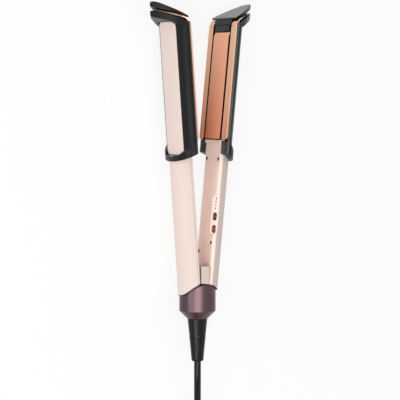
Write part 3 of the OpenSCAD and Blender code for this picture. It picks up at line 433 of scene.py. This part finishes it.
dressed = [
    ("hub_shell", "hubCoat", 0.0, "hub", "hub_coat"),
    ("hinge_block", "palePink", 0.0003, "hub", "pale_shell"),
    ("swivel_neck", "rubber", 0.0003, "cord_swivel", "cord_black"),
    ("strain_relief", "rubber", 0.0002, "cord_swivel", "cord_black"),
    ("plug_body", "rubber", 0.0008, "hub", "cord_black"),
    ("plug_pins", "brass", 0.0005, "hub", "contact_brass"),
    ("cord_tie", "rubber", 0.0003, "hub", "cord_black"),
    ("control_bezel", "stripPink", 0.0002, "right_arm", "pale_shell"),
    ("mode_button", "lens", 0.0003, "mode_button", "button_red"),
    ("power_button", "lens", 0.0003, "power_button", "button_red"),
    ("light_lenses", "lens", 0.0, "right_arm", "lens_dark"),
]
for side in ("left", "right"):
    dressed += [(side + "_" + node, finish, width, side + body, slot) for node, finish, width, body, slot in [
        ("grip_shell", "palePink", 0.0002, "_arm", "pale_shell"),
        # The grip covers take the pink with painted bounce light
        ("grip_cover", "bounceLitPink", 0.0002, "_arm", "pale_shell"),
        ("head_frame", "darkFrame", 0.0003, "_arm", "dark_frame"),
        ("back_panel", "palePink", 0.0003, "_arm", "pale_shell"),
        ("rail_liner", "railGold", 0.0002, "_arm", "rose_gold"),
        ("tip_cap", "capGrey", 0.0005, "_arm", "cap_grey"),
        ("tip_block", "darkFrame", 0.0003, "_arm", "dark_frame"),
        ("plate_stop", "darkFrame", 0.0002, "_arm", "dark_frame"),
        ("plate", "roseGold", 0.0003, "_plate_unit", "rose_gold")]]
made = {}
for node, finish, width, body, slot in dressed:
    piece = roundedCopy(node, node.replace("_", " ").title().replace(" ", ""), width)
    made[node] = finishPiece(piece, finish, body, slot, node)
evenRoundNormals(made["hub_shell"], toolToWorld @ Vector((0, 0, 0)))
print("moulded pieces dressed")

# Button marks: a red spot on the upper button and a ring on the lower one
marks = {"mode_button": ((0.72, 0.07, 0.08), (0.30, 0.03, 0.03), (0.08, 0.012, 0.012), (1.6, 2.4, 2.8, 3.5)),
         "power_button": ((0.80, 0.55, 0.50), (0.50, 0.07, 0.08), (0.20, 0.03, 0.04), (1.3, 1.9, 2.6, 3.4))}
for node, (middle, ring, edge, radii) in marks.items():
    piece = made[node]
    centre = sum((Vector(corner) for corner in piece.bound_box), Vector()) / 8
    piece.data.materials.clear()
    piece.data.materials.append(markedButton(node.replace("_", " ") + " mark", middle, ring, edge, tuple(centre),
                                             [radius / 1000 for radius in radii]))
print("buttons marked")

# Painted shade on picked faces: the slots beside the plates, the plates' side faces, the rails' flared ends, the
# screw holes, the gap round the hub's rim, the hinge block below the rim and the caps' sides; and a painted
# highlight on the head frames' chamfers
depth = {"slot": 0.0007, "hubWall": 0.0179, "hole": 0.00003, "screwZ": 0.0126, "holeR": 0.0021,
         "screws": ((0.0775, 1), (0.0675, -1), (0.1612, 1), (0.1612, -1)), "plateSide": 0.6, "capTop": 0.25,
         "edge": 0.3, "rimTop": 0.2, "rimLow": 0.02, "rimRight": 0.003, "hubLow": 0.012, "slotHalf": 0.0204,
         "slotTop": 0.286, "flare": 0.006, "flareLow": 0.29, "flareHalf": 0.0288, "edgeTop": 0.296,
         "blockLow": 0.0352}


def inScrewHole(place, normal):
    return place.x > depth["hole"] and any(
        math.hypot(place.y - y, place.z - s * depth["screwZ"]) < depth["holeR"] for y, s in depth["screws"])


for side in ("left", "right"):
    toGrip, toArm = gripToWorld(side).inverted(), armToWorld(side).inverted()
    # Painted shade in the slot between each plate and its rail
    shadeFaces(made[side + "_rail_liner"], "grooveShade",
               lambda place, normal: place.x > depth["slot"] and abs(place.z) < depth["slotHalf"]
               and place.y < depth["slotTop"], toArm)
    # Painted shade: the rails' flared ends under the caps take a darker, shaded copy of the gold in place of the
    # glare they catch
    shadeFaces(made[side + "_rail_liner"], "flareGold",
               lambda place, normal: place.x > depth["flare"] and place.y > depth["flareLow"]
               and abs(place.z) < depth["flareHalf"], toGrip)
    # Painted shade on the plates' side faces inside the slots
    shadeFaces(made[side + "_plate"], "grooveShade", lambda place, normal: abs(normal.z) > depth["plateSide"], toArm)
    shadeFaces(made[side + "_grip_cover"], "gapDark", inScrewHole, toGrip)
    # Painted highlight on the head frames' front chamfers
    shadeFaces(made[side + "_head_frame"], "frameEdgeHighlight",
               lambda place, normal: normal.x < -depth["edge"] and abs(normal.z) > depth["edge"]
               and place.y < depth["edgeTop"], toGrip)
    # Painted light on the tip caps: their sides take the black frame finish while the lit-looking ends keep the
    # grey
    shadeFaces(made[side + "_tip_cap"], "darkFrame", lambda place, normal: normal.y < depth["capTop"], toGrip)


# Painted shade in the gap round the hub's rim: its top and inner wall
def aroundRim(place, normal):
    top = normal.y > depth["rimTop"] and place.y > depth["rimLow"] and place.x < depth["rimRight"]
    return place.y > depth["hubLow"] and (top or math.hypot(place.x, place.z) < depth["hubWall"])


shadeFaces(made["hub_shell"], "gapDark", aroundRim, toolToWorld.inverted())
# Painted shade on the hinge block below the hub's rim, seen through the gap
makeActive(made["hinge_block"])
bpy.ops.object.mode_set(mode="EDIT")
bpy.ops.mesh.select_all(action="SELECT")
bpy.ops.mesh.bisect(plane_co=toolToWorld @ Vector((0, depth["blockLow"], 0)), plane_no=(0, 1, 0))
bpy.ops.object.mode_set(mode="OBJECT")
shadeFaces(made["hinge_block"], "gapDark", lambda place, normal: place.y < depth["blockLow"],
           toolToWorld.inverted())
print("shaded faces picked")

# Inner pieces keep their solids and get a finish
slotFinish = {"steel": "steel", "blackened_steel": "blackSteel", "contact_brass": "brass",
              "ceramic_heater": "ceramic", "carrier_plastic": "carrier", "board_green": "board",
              "switch_black": "switch", "lead_red": "leads", "cord_black": "rubber"}
slotOf = {part["node"]: part["material_slot"] for part in frame["record"]["subparts"]}
for name, node in nodes.items():
    if not node.hide_render and slotOf[name] in slotFinish:
        node.data.materials.clear()
        node.data.materials.append(finishes[slotFinish[slotOf[name]]])
print("inner pieces finished")


# Studio
studio = {"floorSize": 6, "floorWhite": 0.92, "floorLow": -0.0002, "floorRough": 0.9, "floorGlow": 0.85,
          "ambient": 0.48}
lamps = {"key": {"place": (-0.78, -0.34, 1.48), "size": (0.38, 2.5), "power": 19.5},
         "side": {"place": (-1.5, 0.1, 0.45), "size": (0.8, 0.5), "power": 5}}


def backgroundFactor(shader):
    rays = shader.tree.nodes.new("ShaderNodeLightPath")
    seen = [Val(shader, rays.outputs[name]) for name in ("Is Camera Ray", "Is Glossy Ray", "Is Transmission Ray")]
    return seen[0] + seen[1] + seen[2]


def addFloor():
    bpy.ops.mesh.primitive_plane_add(size=studio["floorSize"], location=(0, 0, studio["floorLow"]))
    floor = bpy.context.object
    floor.name = "floor"
    paper = Shader("floor paper")
    paper.set(Base_Color=(studio["floorWhite"],) * 3, Roughness=studio["floorRough"])
    glow = paper.node("ShaderNodeEmission", {}, {"Color": (1, 1, 1), "Strength": 1.0})
    mixed = paper.node("ShaderNodeMixShader", {}, [backgroundFactor(paper) * studio["floorGlow"],
                       Val(paper, paper.surface.outputs[0]), glow])
    paper.plug(paper.tree.nodes["Material Output"].inputs["Surface"], mixed)
    floor.data.materials.append(paper.material)


def addLamp(name, place, size, power):
    # An area lamp that looks at the origin
    bpy.ops.object.light_add(type="AREA", location=place)
    lamp = bpy.context.object
    lamp.name = name
    lamp.data.shape = "RECTANGLE"
    lamp.data.size, lamp.data.size_y = size
    lamp.data.energy = power
    lamp.rotation_euler = (-Vector(place)).to_track_quat("-Z", "Y").to_euler()


def addWorld():
    world = bpy.data.worlds.new("studio")
    bpy.context.scene.world = world
    world.use_nodes = True
    sky = Shader.__new__(Shader)
    sky.tree = world.node_tree
    base = sky.tree.nodes["Background"]
    strength = backgroundFactor(sky) * (1 - studio["ambient"]) + studio["ambient"]
    sky.plug(base.inputs["Strength"], strength)
    base.inputs["Color"].default_value = (1, 1, 1, 1)


addFloor()
for name, lamp in lamps.items():
    addLamp(name, **lamp)
addWorld()
bpy.context.scene.view_settings.view_transform = "Standard"
print("studio lit")
